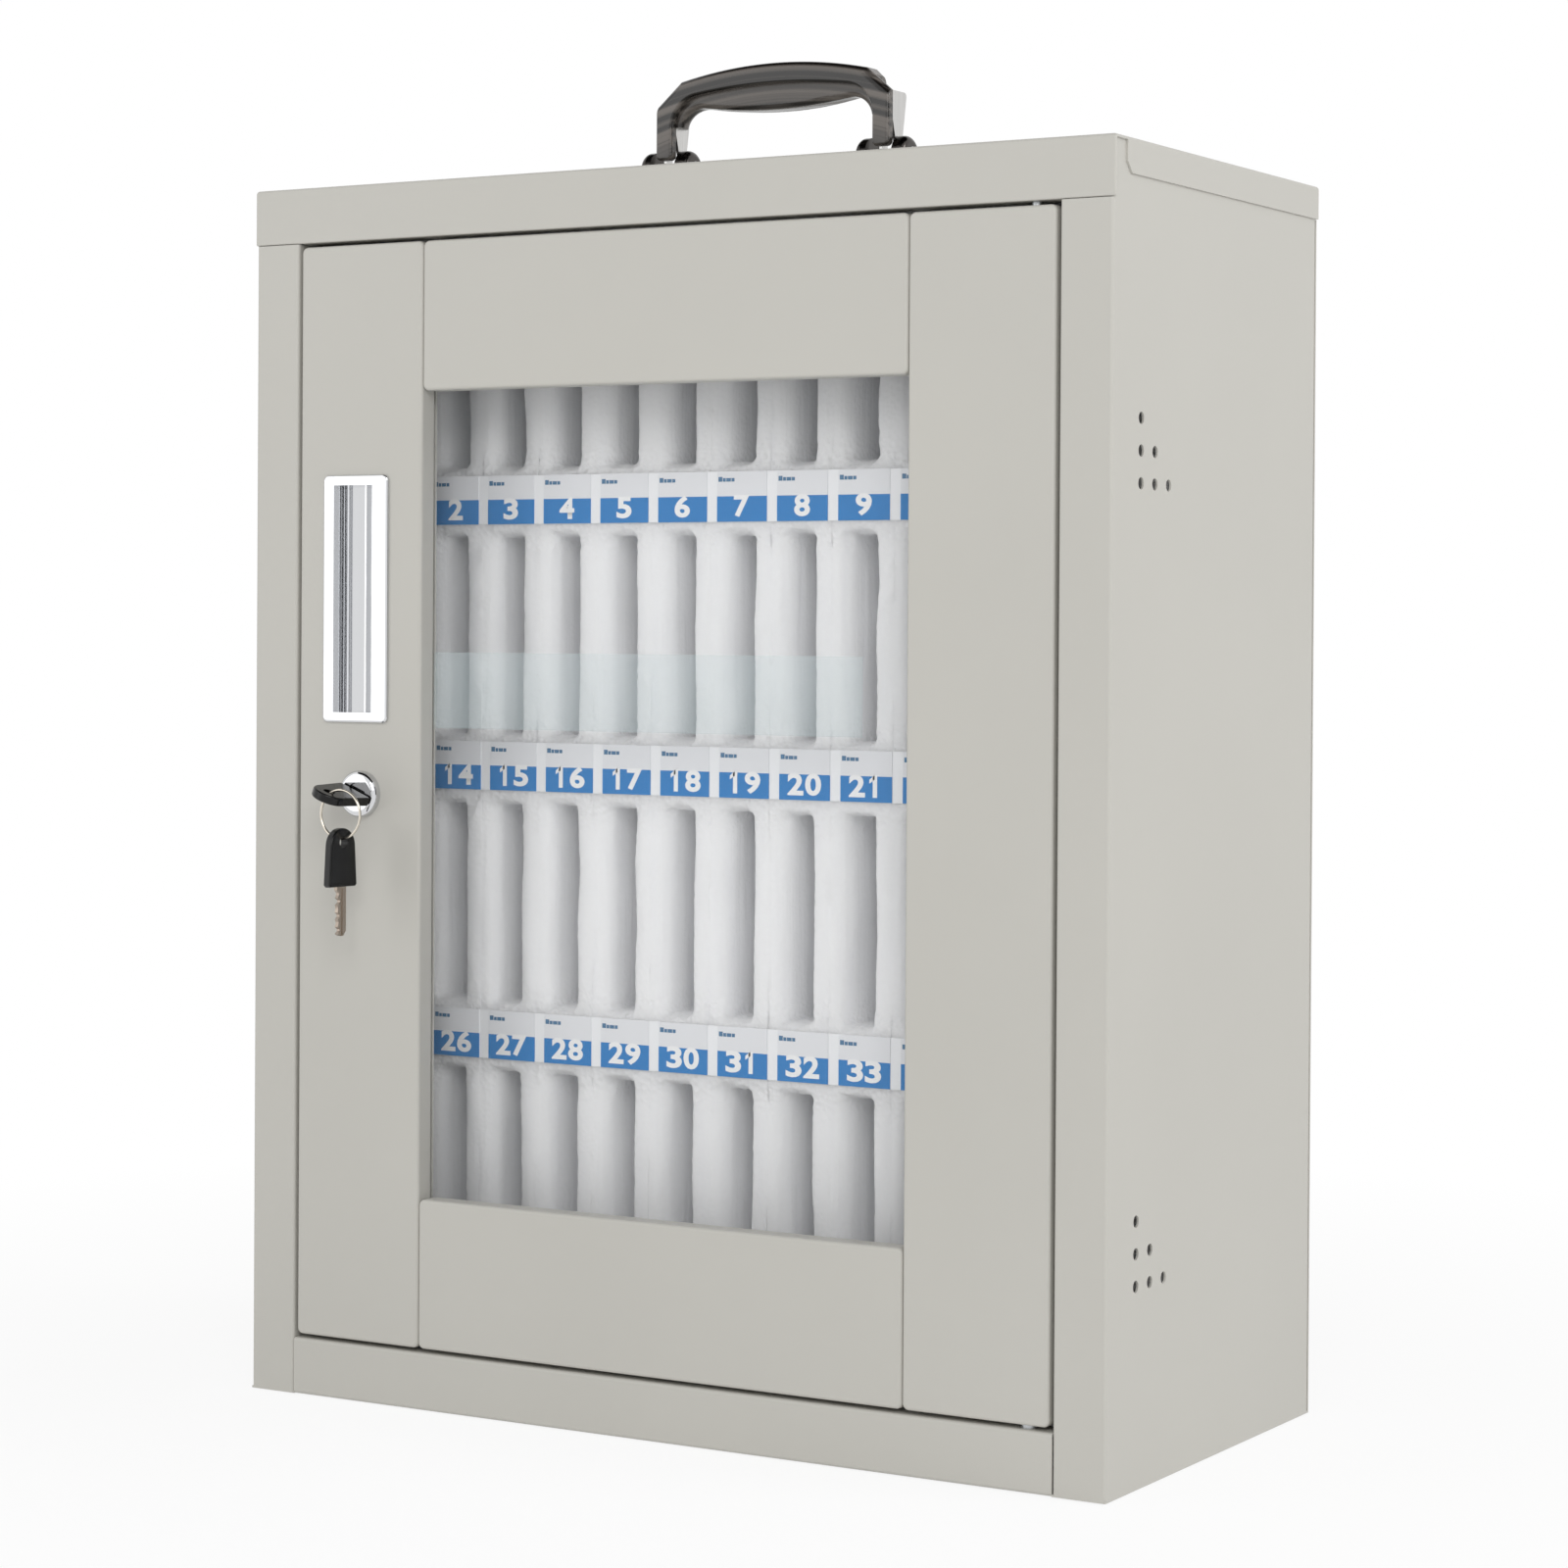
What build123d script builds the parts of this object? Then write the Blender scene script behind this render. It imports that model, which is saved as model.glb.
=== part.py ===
from build123d import *
import math
import os

# Phone locker box. Millimetres. X to the right seen from the front, Y into the cabinet, Z up.
# Here the front face is at Y = 0. The finished pieces move forward by half the depth, which puts
# the origin under the middle of the base.

os.makedirs("parts", exist_ok=True)

# Cabinet
CAB_W = 476.0
CAB_D = 228.0
CAB_H = 600.0
ORIGIN_Y = CAB_D / 2
SHEET = 1.0
BEND_R = 1.6
STILE_FACE = 27.0
CAP_FACE = 27.5
PAN_FACE = 28.0
CAP_LAP = 16.0
CAP_LAP_START = 12.0
CAP_CHAMFER = 5.0
STILE_RETURN = 18.5
RAIL_RETURN = 14.0
REAR_FLANGE = 14.0
SEAM = 0.3

# Vents, right and left side panels
VENT_R = 2.75
VENT_PITCH = 14.5
VENT_Y = 29.6
VENT_LOW_Z = 91.0
VENT_HIGH_DOWN = 152.0

# Door
DOOR_GAP = 2.0
DOOR_T = 18.0
MEMBER_W = 74.0
RAIL_H = 73.0
GLASS_Y = 10.0
CORNER_R = 3.0
PANE_T = 3.0
PANE_LAP = 6.0
HOLDER_GAP = 0.5
HOLDER_FOOT = 10.0
HOLDER_LIP = 5.0
HOLDER_END_GAP = 1.0
FILM_T = 0.25
FILM_LEFT_GAP = 1.0
FILM_RIGHT_GAP = 28.0
FILM_DOWN = 127.5
FILM_H = 37.0

# Hinge
PIN_R = 2.5
PIN_FIT = 0.08
PIN_X_IN = 41.7
PIN_Y = 7.0
PIN_HEAD_R = 4.0

# Flush pull, placed from the door's free edge and from the lock
PULL_IN = 35.0
PULL_UP = 96.0
PULL_W = 39.5
PULL_H = 122.0
PULL_PROUD = 1.8
PULL_CUP_W = 28.5
PULL_CUP_H = 114.4
PULL_CUP_D = 15.0
PULL_WALL = 1.2
PULL_CUP_R = 10.0
PULL_LIP = 9.0

# Lock and keys, halfway up the door
LOCK_IN = 38.6
LOCK_HOLE_FIT = 0.15
COLLAR_R = 11.5
COLLAR_T = 4.8
COLLAR_ROUND = 3.0
BARREL_R = 8.0
BARREL_END = 19.4
NUT_AF = 21.0
NUT_T = 3.0
PLUG_R = 5.5
PLUG_FIT = 0.06
PLUG_FRONT = -3.9
PLUG_END = 19.5
TANG = 6.0
CAM_Y = 19.9
CAM_T = 2.0
CAM_REACH = 45.0
CAM_W = 16.0
CAM_DIR = 248.0
KEY_TILT = 22.0
KEY_HOLE_Y = -27.1
HEAD_L = 28.5
HEAD_ARCH_R = 8.8
HEAD_BASE_W = 20.0
HEAD_T = 4.4
HEAD_HOLE_R = 2.9
HEAD_HOLE_IN = 7.0
BLADE_L = 23.9
BLADE_W = 6.6
BLADE_T = 1.9
KEYWAY_FIT = 0.1
RING_R = 11.8
RING_WIRE_R = 0.65
RING_DX = 7.8
RING_DZ = -8.85
SPARE_DROP = 1.8
SPARE_AZ = 86.0

# Foam insert and labels
FOAM_FRONT = 50.0
FOAM_BACK_T = 8.8
FOAM_REAR_GAP = 0.2
FOAM_SIDE_GAP = 1.5
COLUMNS = 12
ROWS = 4
PITCH_X = 33.5
SLOT_W = 15.5
SLOT_Z0 = 62.7
SLOT_TOP_DOWN = 39.1
RIB_H = 34.6
FOAM_EDGE_R = 3.0
LABEL_W = 27.7
LABEL_H = 24.1
LABEL_DOWN = 28.7
STRIP_OVER = 3.0
# How far each row's cards sit right of their slots and up, because they are stuck on by hand
LABEL_PLACES = ((1.1, 0.0), (3.2, 1.0), (3.1, 0.4), (3.1, 0.4))
STRIP_T = 0.5
CARD_T = 0.35

# Carry handle. Heights are measured up from the cabinet's top
LEG_IN = 57.3
LEG_W = 9.4
PIVOT_UP = 12.5
GRIP_D = 22.0
BAND_T = 4.5
TAB_UP = 16.7
REAR_UP = 33.0
SHOULDER_UP = 43.8
CREST_UP = 55.6
CREST_X = 53.0
ARCH_UP = 61.5
BAND_CREST_UP = 48.2
BAND_CREST_X = 42.5
BAND_MID_UP = 51.0
BAND_ARM = (53.5, 42.6)
UNDER_CREST_UP = 42.2
UNDER_CREST_X = 42.0
UNDER_MID_UP = 39.0
UNDER_ARM = (49.5, 40.2)
UNDER_END_X = 54.0
GRIP_END_D = 15.0
REAR_TOP_R = 4.0
REAR_LOW_R = 5.0
PALM_R = 2.8
BAND_R = 1.5
BAND_TOP_R = 4.0
TAB_R = 2.5
STRAP_T = 1.5
STRAP_TOP_D = 14.0
STRAP_LOW_D = 5.6
STRAP_EYE_R = 4.6
STRAP_LOW_UP = 5.0
STRAP_R = 2.0
EAR_R = 9.5
EAR_W = 6.5
EAR_GAP = 0.6
PLAY = 4.0
EAR_DOME = 3.5
BASE_T = 2.0
BASE_L = 38.0
HANDLE_PIN_R = 2.5
HANDLE_FIT = 0.06
PIN_BUTTON_R = 4.2
PIN_BUTTON_T = 1.2
RIVET_R = 1.6
RIVET_Y = 14.5


def block(x0, x1, y0, y1, z0, z1):
    return Pos((x0 + x1) / 2, (y0 + y1) / 2, (z0 + z1) / 2) * Box(x1 - x0, y1 - y0, z1 - z0)


def rod(axis, r, start, end, a, b):
    """A cylinder along X, Y or Z from start to end. a and b are the other two coordinates."""
    mid = (start + end) / 2
    if axis == "X":
        return Pos(mid, a, b) * Rot(0, 90, 0) * Cylinder(r, end - start)
    if axis == "Y":
        return Pos(a, mid, b) * Rot(90, 0, 0) * Cylinder(r, end - start)
    return Pos(a, b, mid) * Cylinder(r, end - start)


def folded_tray(x0, x1, z0, z1, left, right, bottom, top):
    """A face sheet at Y = 0 with a return folded back from each edge to the given depth."""
    deep = max(left, right, bottom, top)
    outer = block(x0, x1, 0, deep, z0, z1)
    outer = fillet(outer.edges().filter_by(Axis.Y), CORNER_R)
    outer = fillet(outer.faces().sort_by(Axis.Y)[0].edges(), BEND_R)
    inner = block(x0 + SHEET, x1 - SHEET, SHEET, deep + 5, z0 + SHEET, z1 - SHEET)
    inner = fillet(inner.edges().filter_by(Axis.Y), CORNER_R - SHEET)
    inner = fillet(inner.faces().sort_by(Axis.Y)[0].edges(), BEND_R - SHEET)
    tray = outer - inner
    far = deep + 1
    if left < deep:
        tray -= block(x0 - 1, x0 + CORNER_R, left, far, z0 - 1, z1 + 1)
    if right < deep:
        tray -= block(x1 - CORNER_R, x1 + 1, right, far, z0 - 1, z1 + 1)
    if bottom < deep:
        tray -= block(x0 - 1, x1 + 1, bottom, far, z0 - 1, z0 + CORNER_R)
    if top < deep:
        tray -= block(x0 - 1, x1 + 1, top, far, z1 - CORNER_R, z1 + 1)
    return tray


pieces = {}

# ---- Cabinet shell ----
half_w = CAB_W / 2
mid_y = CAB_D / 2
body_half = half_w - SHEET
cap_z = CAB_H - CAP_FACE
stile_top = cap_z - SEAM
stile_in = half_w - STILE_FACE
hinge_x = half_w - PIN_X_IN


def side_panel(side):
    """Side sheet, front stile and its return, and the narrow rear flange, folded from one sheet."""
    outer = block(stile_in, body_half, 0, CAB_D - SHEET, SHEET, CAB_H - SHEET)
    outer = fillet(outer.edges().filter_by(Axis.Z), BEND_R)
    inner = block(stile_in + SHEET, body_half - SHEET, SHEET, CAB_D - 2 * SHEET, 0, CAB_H)
    inner = fillet(inner.edges().filter_by(Axis.Z), BEND_R - SHEET)
    panel = outer - inner
    panel -= block(stile_in - 1, stile_in + 5, STILE_RETURN, CAB_D, 0, CAB_H)
    panel -= block(stile_in - 1, body_half - REAR_FLANGE, CAB_D - 5, CAB_D, 0, CAB_H)
    # The cap's face strip takes the place of the stile above its lower edge
    panel -= block(0, half_w, -1, SHEET, stile_top, CAB_H)
    panel -= block(0, body_half - SHEET, -1, CAB_D / 2, stile_top, CAB_H)
    for z in (VENT_LOW_Z, CAB_H - VENT_HIGH_DOWN):
        for col in range(3):
            for row in range(3 - col):
                y = VENT_Y + col * VENT_PITCH
                panel -= rod("X", VENT_R, body_half - 3, body_half + 1, y, z + row * VENT_PITCH)
    return panel if side > 0 else mirror(panel, Plane.YZ)


pieces["side_panel_right"] = side_panel(1)
pieces["side_panel_left"] = side_panel(-1)

cap = block(-half_w, half_w, 0, CAB_D, cap_z, CAB_H)
cap = fillet(cap.edges().filter_by(Axis.Z).group_by(Axis.Y)[0], SHEET * 0.9)
cap = fillet(cap.faces().sort_by(Axis.Z)[-1].edges(), BEND_R)
cap -= block(-body_half, body_half, SHEET, CAB_D - SHEET, cap_z - 1, CAB_H - SHEET)
for side in (-1, 1):
    x_in = side * (half_w - SHEET)
    x_out = side * (half_w + 1)
    x0, x1 = min(x_in, x_out), max(x_in, x_out)
    cap -= block(x0, x1, SHEET, CAB_D + 1, cap_z - 1, CAB_H - CAP_LAP)
    cap -= block(x0, x1, SHEET, CAP_LAP_START, cap_z - 1, CAB_H - BEND_R)
    corner = Pos(side * half_w, CAP_LAP_START, CAB_H - CAP_LAP) * Rot(45, 0, 0)
    cap -= corner * Box(4, CAP_CHAMFER * math.sqrt(2), CAP_CHAMFER * math.sqrt(2))
cap -= block(-half_w - 1, half_w + 1, CAB_D - 2 * SHEET, CAB_D + 1, cap_z - 1, CAB_H - CAP_LAP)
rail_half = stile_in - SEAM
cap += block(-rail_half, rail_half, 0, RAIL_RETURN, cap_z, cap_z + SHEET)
lower_edges = cap.edges().filter_by(Axis.X).group_by(Axis.Z)[0]
cap = fillet([e for e in lower_edges if abs(e.center().Y) < 0.01], SHEET * 0.8)
cap -= rod("Z", PIN_R, cap_z - 1, cap_z + SHEET + 1, hinge_x, PIN_Y)

pan = block(-body_half, body_half, 0, CAB_D, 0, SHEET)
rail = block(-rail_half, rail_half, 0, RAIL_RETURN, 0, PAN_FACE)
rail = fillet([e for e in rail.edges().filter_by(Axis.X) if e.center().Y < 0.01], BEND_R)
rail_core = block(-half_w, half_w, SHEET, RAIL_RETURN + 5, SHEET, PAN_FACE - SHEET)
rail_core = fillet(
    [e for e in rail_core.edges().filter_by(Axis.X) if e.center().Y < SHEET + 0.01], BEND_R - SHEET
)
pan = pan - block(-rail_half, rail_half, -1, RAIL_RETURN, -1, SHEET + 1) + (rail - rail_core)
for side in (-1, 1):
    x0 = side * (body_half - SHEET)
    x1 = side * (body_half - 2 * SHEET)
    pan += block(min(x0, x1), max(x0, x1), STILE_RETURN + 2, CAB_D - 4, 0, RAIL_RETURN)
pan -= rod("Z", PIN_R, PAN_FACE - 2 * SHEET, PAN_FACE + 1, hinge_x, PIN_Y)
pieces["bottom_pan"] = pan

pieces["back_panel"] = block(
    -body_half, body_half, CAB_D - SHEET, CAB_D, SHEET, CAB_H - CAP_LAP - SEAM
)

# Hinge pins: headed, the lower one with a shoulder that carries the door
door_z0 = PAN_FACE + DOOR_GAP
door_z1 = cap_z - DOOR_GAP
door_x = stile_in - DOOR_GAP
pin_top = rod("Z", PIN_R, door_z1 - 8, cap_z + SHEET + 2, hinge_x, PIN_Y)
pin_top += rod("Z", PIN_HEAD_R, cap_z + SHEET, cap_z + SHEET + 2, hinge_x, PIN_Y)
pieces["hinge_pin_top"] = pin_top
pin_bottom = rod("Z", PIN_R, PAN_FACE - SHEET - 2, door_z0 + 8, hinge_x, PIN_Y)
pin_bottom += rod("Z", PIN_HEAD_R, PAN_FACE - SHEET - 2, PAN_FACE - SHEET, hinge_x, PIN_Y)
pin_bottom += rod("Z", PIN_HEAD_R, PAN_FACE, door_z0 - 0.3, hinge_x, PIN_Y)
pieces["hinge_pin_bottom"] = pin_bottom

# ---- Door ----
stile_in_x = door_x - MEMBER_W
pull_x = PULL_IN - door_x
lock_x = LOCK_IN - door_x
lock_z = CAB_H / 2
pull_z = lock_z + PULL_UP
win_z0 = door_z0 + RAIL_H
win_z1 = door_z1 - RAIL_H
stile_l = folded_tray(-door_x, -stile_in_x, door_z0, door_z1, DOOR_T, GLASS_Y, DOOR_T, DOOR_T)
stile_l -= block(
    pull_x - PULL_CUP_W / 2, pull_x + PULL_CUP_W / 2, -1, SHEET + 1,
    pull_z - PULL_CUP_H / 2, pull_z + PULL_CUP_H / 2,
)
stile_l -= rod("Y", BARREL_R + LOCK_HOLE_FIT, -1, SHEET + 1, lock_x, lock_z)
pieces["door_stile_left"] = stile_l
stile_r = folded_tray(stile_in_x, door_x, door_z0, door_z1, GLASS_Y, DOOR_T, DOOR_T, DOOR_T)
stile_r -= rod("Z", PIN_R + PIN_FIT, door_z1 - 2 * SHEET, door_z1 + 1, hinge_x, PIN_Y)
stile_r -= rod("Z", PIN_R + PIN_FIT, door_z0 - 1, door_z0 + 2 * SHEET, hinge_x, PIN_Y)
pieces["door_stile_right"] = stile_r
rail_x = stile_in_x - SEAM
pieces["door_rail_top"] = folded_tray(
    -rail_x, rail_x, win_z1, door_z1, GLASS_Y, GLASS_Y, GLASS_Y, DOOR_T
)
pieces["door_rail_bottom"] = folded_tray(
    -rail_x, rail_x, door_z0, win_z0, GLASS_Y, GLASS_Y, DOOR_T, GLASS_Y
)

# Pane behind the inner returns, held by four Z strips welded to the back of the members
pane_x = stile_in_x + PANE_LAP
pane_z0 = win_z0 - PANE_LAP
pane_z1 = win_z1 + PANE_LAP
pieces["window_pane"] = block(-pane_x, pane_x, GLASS_Y, GLASS_Y + PANE_T, pane_z0, pane_z1)
film_top = win_z1 - FILM_DOWN
pieces["window_film"] = block(
    -stile_in_x + FILM_LEFT_GAP, stile_in_x - FILM_RIGHT_GAP, GLASS_Y - FILM_T, GLASS_Y,
    film_top - FILM_H, film_top,
)
level_half = rail_x - SHEET - HOLDER_END_GAP


def holder_section(edge, out):
    """Z section in (across, Y): foot on the member's back, web past the pane, lip on the pane."""
    pane_back = GLASS_Y + PANE_T
    foot = (edge + out * HOLDER_GAP, edge + out * (HOLDER_GAP + HOLDER_FOOT))
    web = (edge + out * HOLDER_GAP, edge + out * (HOLDER_GAP + SHEET))
    lip = (edge - out * HOLDER_LIP, edge + out * (HOLDER_GAP + SHEET))
    return (
        (foot, SHEET, 2 * SHEET),
        (web, SHEET, pane_back + SHEET),
        (lip, pane_back, pane_back + SHEET),
    )


def holder_upright(out):
    shape = None
    for (a, b), y0, y1 in holder_section(out * pane_x, out):
        bar = block(min(a, b), max(a, b), y0, y1, pane_z0, pane_z1)
        shape = bar if shape is None else shape + bar
    return shape


def holder_level(edge, out):
    shape = None
    for (a, b), y0, y1 in holder_section(edge, out):
        bar = block(-level_half, level_half, y0, y1, min(a, b), max(a, b))
        shape = bar if shape is None else shape + bar
    return shape


pieces["pane_holder_left"] = holder_upright(-1)
pieces["pane_holder_right"] = holder_upright(1)
pieces["pane_holder_bottom"] = holder_level(pane_z0, -1)
pieces["pane_holder_top"] = holder_level(pane_z1, 1)

# Flush pull: raised bezel, cup through the stile, and a flat lip over the cup's hinge side
pull_z0 = pull_z - PULL_H / 2
pull_z1 = pull_z + PULL_H / 2
pull_x0 = pull_x - PULL_W / 2
pull_x1 = pull_x + PULL_W / 2
bezel = block(pull_x0, pull_x1, -PULL_PROUD, 0, pull_z0, pull_z1)
bezel = fillet(bezel.edges().filter_by(Axis.Y), 3.0)
bezel = fillet(bezel.faces().sort_by(Axis.Y)[0].edges(), 1.2)
cup = block(
    pull_x - PULL_CUP_W / 2, pull_x + PULL_CUP_W / 2, 0, PULL_CUP_D,
    pull_z - PULL_CUP_H / 2, pull_z + PULL_CUP_H / 2,
)
cup = fillet(cup.edges().filter_by(Axis.Z).group_by(Axis.Y)[-1], PULL_CUP_R)
well = block(
    pull_x - PULL_CUP_W / 2 + PULL_WALL, pull_x + PULL_CUP_W / 2 - PULL_WALL, 0,
    PULL_CUP_D - PULL_WALL,
    pull_z - PULL_CUP_H / 2 + PULL_WALL, pull_z + PULL_CUP_H / 2 - PULL_WALL,
)
well = fillet(well.edges().filter_by(Axis.Z).group_by(Axis.Y)[-1], PULL_CUP_R - PULL_WALL)
mouth = block(
    pull_x - PULL_CUP_W / 2 + PULL_WALL, pull_x1 - PULL_LIP, -PULL_PROUD - 1, 0,
    pull_z - PULL_CUP_H / 2 + PULL_WALL, pull_z + PULL_CUP_H / 2 - PULL_WALL,
)
pieces["flush_pull"] = bezel + cup - well - mouth

# Lock body and nut
collar = rod("Y", COLLAR_R, -COLLAR_T, 0, lock_x, lock_z)
collar = fillet(collar.faces().sort_by(Axis.Y)[0].edges(), COLLAR_ROUND)
lock_body = collar + rod("Y", BARREL_R, 0, BARREL_END, lock_x, lock_z)
lock_body -= rod("Y", PLUG_R + PLUG_FIT, -COLLAR_T - 1, BARREL_END + 1, lock_x, lock_z)
pieces["lock_body"] = lock_body
hexagon = RegularPolygon(NUT_AF / 2, 6, major_radius=False)
nut = Pos(lock_x, SHEET, lock_z) * Rot(-90, 0, 0) * extrude(hexagon, NUT_T)
pieces["lock_nut"] = nut - rod("Y", BARREL_R, 0, SHEET + NUT_T + 1, lock_x, lock_z)

# Lock plug with its keyway, cam and cam screw
key_frame = Plane(
    origin=(lock_x, KEY_HOLE_Y, lock_z),
    x_dir=(math.cos(math.radians(KEY_TILT)), 0, -math.sin(math.radians(KEY_TILT))),
    z_dir=(math.sin(math.radians(KEY_TILT)), 0, math.cos(math.radians(KEY_TILT))),
)
blade_tip = KEY_HOLE_Y + HEAD_L - HEAD_HOLE_IN + BLADE_L
screw_depth = PLUG_END - 0.1
plug = rod("Y", PLUG_R, PLUG_FRONT, PLUG_END, lock_x, lock_z)
turn = Pos(lock_x, 0, lock_z) * Rot(0, -CAM_DIR, 0)
plug += turn * block(-TANG / 2, TANG / 2, PLUG_END, CAM_Y + CAM_T, -TANG / 2, TANG / 2)
keyway_y0 = PLUG_FRONT - 1 - KEY_HOLE_Y
keyway_y1 = blade_tip + 0.3 - KEY_HOLE_Y
plug -= key_frame.location * block(
    -BLADE_W / 2 - KEYWAY_FIT, BLADE_W / 2 + KEYWAY_FIT, keyway_y0, keyway_y1,
    -BLADE_T / 2 - KEYWAY_FIT, BLADE_T / 2 + KEYWAY_FIT,
)
plug -= rod("Y", RIVET_R, screw_depth, CAM_Y + CAM_T + 1, lock_x, lock_z)
pieces["lock_plug"] = plug
cam = block(0, CAM_REACH - CAM_W / 2, CAM_Y, CAM_Y + CAM_T, -CAM_W / 2, CAM_W / 2)
cam += rod("Y", CAM_W / 2, CAM_Y, CAM_Y + CAM_T, 0, 0)
cam += rod("Y", CAM_W / 2, CAM_Y, CAM_Y + CAM_T, CAM_REACH - CAM_W / 2, 0)
cam -= block(-TANG / 2, TANG / 2, CAM_Y - 1, CAM_Y + CAM_T + 1, -TANG / 2, TANG / 2)
pieces["lock_cam"] = turn * cam
screw = rod("Y", 4.6, CAM_Y + CAM_T, CAM_Y + CAM_T + 2.2, lock_x, lock_z)
screw = fillet(screw.faces().sort_by(Axis.Y)[-1].edges(), 1.2)
screw += rod("Y", RIVET_R, screw_depth, CAM_Y + CAM_T, lock_x, lock_z)
pieces["cam_screw"] = screw


def key_head():
    """Moulded head in the key frame: hole at the origin, blade towards +Y, flat across Z."""
    end = -HEAD_HOLE_IN
    base = HEAD_L - HEAD_HOLE_IN
    shoulder = end + HEAD_ARCH_R
    half = HEAD_BASE_W / 2
    outline = Polyline(
        (-HEAD_ARCH_R, shoulder), (-half, base - 1), (-half + 1, base),
        (half - 1, base), (half, base - 1), (HEAD_ARCH_R, shoulder),
    )
    dome = ThreePointArc((HEAD_ARCH_R, shoulder), (0, end), (-HEAD_ARCH_R, shoulder))
    head = extrude(make_face([outline, dome]), HEAD_T / 2, both=True)
    head = fillet(head.faces().sort_by(Axis.Z)[-1].edges(), 0.9)
    head = fillet(head.faces().sort_by(Axis.Z)[0].edges(), 0.9)
    head -= Cylinder(HEAD_HOLE_R, HEAD_T + 2)
    pocket = block(-BLADE_W / 2, BLADE_W / 2, base - 8, base + 1, -BLADE_T / 2, BLADE_T / 2)
    return head - pocket


def key_blade():
    """Flat blade with a pointed tip and bitting cuts on one edge."""
    y0 = HEAD_L - HEAD_HOLE_IN - 8
    y1 = HEAD_L - HEAD_HOLE_IN
    tip = y1 + BLADE_L
    w = BLADE_W / 2
    cuts = [(3, 1.4), (6.5, 2.2), (10, 0.9), (13.5, 1.8), (17, 1.2), (20.5, 2.0)]
    edge = [(w, y0), (w, y1 + 1.5)]
    for at, deep in cuts:
        edge += [(w - deep, y1 + at), (w - deep, y1 + at + 1.0), (w - 0.5, y1 + at + 2.4)]
    edge += [(w - 2.8, tip), (-w + 2.0, tip), (-w, tip - 2.5), (-w, y0)]
    blade = extrude(make_face(Polyline(*edge, close=True)), BLADE_T / 2, both=True)
    groove = block(-0.7, 0.5, y1 + 1, tip + 1, BLADE_T / 2 - 0.4, BLADE_T / 2 + 1)
    return blade - groove


pieces["key_head"] = key_frame.location * key_head()
pieces["key_blade"] = key_frame.location * key_blade()

# Key ring through the head's hole, and the spare key hanging at its lowest point
ring_x = lock_x + RING_DX
ring_z = lock_z + RING_DZ
ring = Pos(ring_x, KEY_HOLE_Y, ring_z) * Rot(90, 0, 0) * Torus(RING_R, RING_WIRE_R)
pieces["key_ring"] = ring
az = math.radians(SPARE_AZ)
spare_frame = Plane(
    origin=(ring_x, KEY_HOLE_Y, ring_z - RING_R - SPARE_DROP),
    x_dir=(-math.cos(az), -math.sin(az), 0),
    z_dir=(math.sin(az), -math.cos(az), 0),
)
pieces["spare_key_head"] = spare_frame.location * key_head()
pieces["spare_key_blade"] = spare_frame.location * key_blade()

# ---- Foam insert ----
foam_half = body_half - SHEET - FOAM_SIDE_GAP
foam_bottom = SHEET
foam_top = CAB_H - SHEET - FOAM_REAR_GAP
foam_rear = CAB_D - 2 * SHEET - FOAM_REAR_GAP
slot_rear = foam_rear - FOAM_BACK_T
pitch_z = (CAB_H - SLOT_TOP_DOWN - SLOT_Z0 + RIB_H) / ROWS
slot_h = pitch_z - RIB_H
layer_edges = [foam_bottom]
for row in range(ROWS):
    layer_edges += [SLOT_Z0 + row * pitch_z, SLOT_Z0 + row * pitch_z + slot_h]
layer_edges.append(foam_top)
for n in range(ROWS + 1):
    pieces[f"foam_layer_{n + 1}"] = block(
        -foam_half, foam_half, FOAM_FRONT, slot_rear, layer_edges[2 * n], layer_edges[2 * n + 1]
    )
pieces["foam_back"] = block(-foam_half, foam_half, slot_rear, foam_rear, foam_bottom, foam_top)

slot_x = [(c - (COLUMNS - 1) / 2) * PITCH_X for c in range(COLUMNS)]
bar_spans = [(-foam_half, slot_x[0] - SLOT_W / 2)]
for left, right in zip(slot_x, slot_x[1:]):
    bar_spans.append((left + SLOT_W / 2, right - SLOT_W / 2))
bar_spans.append((slot_x[-1] + SLOT_W / 2, foam_half))


def divider(x0, x1, z0, z1, round_left, round_right):
    bar = block(x0, x1, FOAM_FRONT, slot_rear, z0, z1)
    front = bar.edges().filter_by(Axis.Z).group_by(Axis.Y)[0].sort_by(Axis.X)
    edges = [e for e, soft in zip(front, (round_left, round_right)) if soft]
    return fillet(edges, FOAM_EDGE_R)


strip_half = COLUMNS * PITCH_X / 2 + STRIP_OVER
for row in range(ROWS):
    z0 = SLOT_Z0 + row * pitch_z
    bars = []
    for i, (x0, x1) in enumerate(bar_spans):
        bars.append(divider(x0, x1, z0, z0 + slot_h, i > 0, i < COLUMNS))
    # Rows are counted from the top, as the numbers are
    name = ROWS - row
    pieces[f"foam_dividers_row_{name}"] = Compound(bars)
    along, rise = LABEL_PLACES[name - 1]
    label_z = z0 - LABEL_DOWN + rise
    pieces[f"label_strip_row_{name}"] = block(
        -strip_half, strip_half, FOAM_FRONT - STRIP_T, FOAM_FRONT, label_z, label_z + LABEL_H
    )
    card_y = FOAM_FRONT - STRIP_T
    cards = []
    for x in slot_x:
        x0, x1 = x + along - LABEL_W / 2, x + along + LABEL_W / 2
        cards.append(block(x0, x1, card_y - CARD_T, card_y, label_z, label_z + LABEL_H))
    pieces[f"label_cards_row_{name}"] = Compound(cards)

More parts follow.
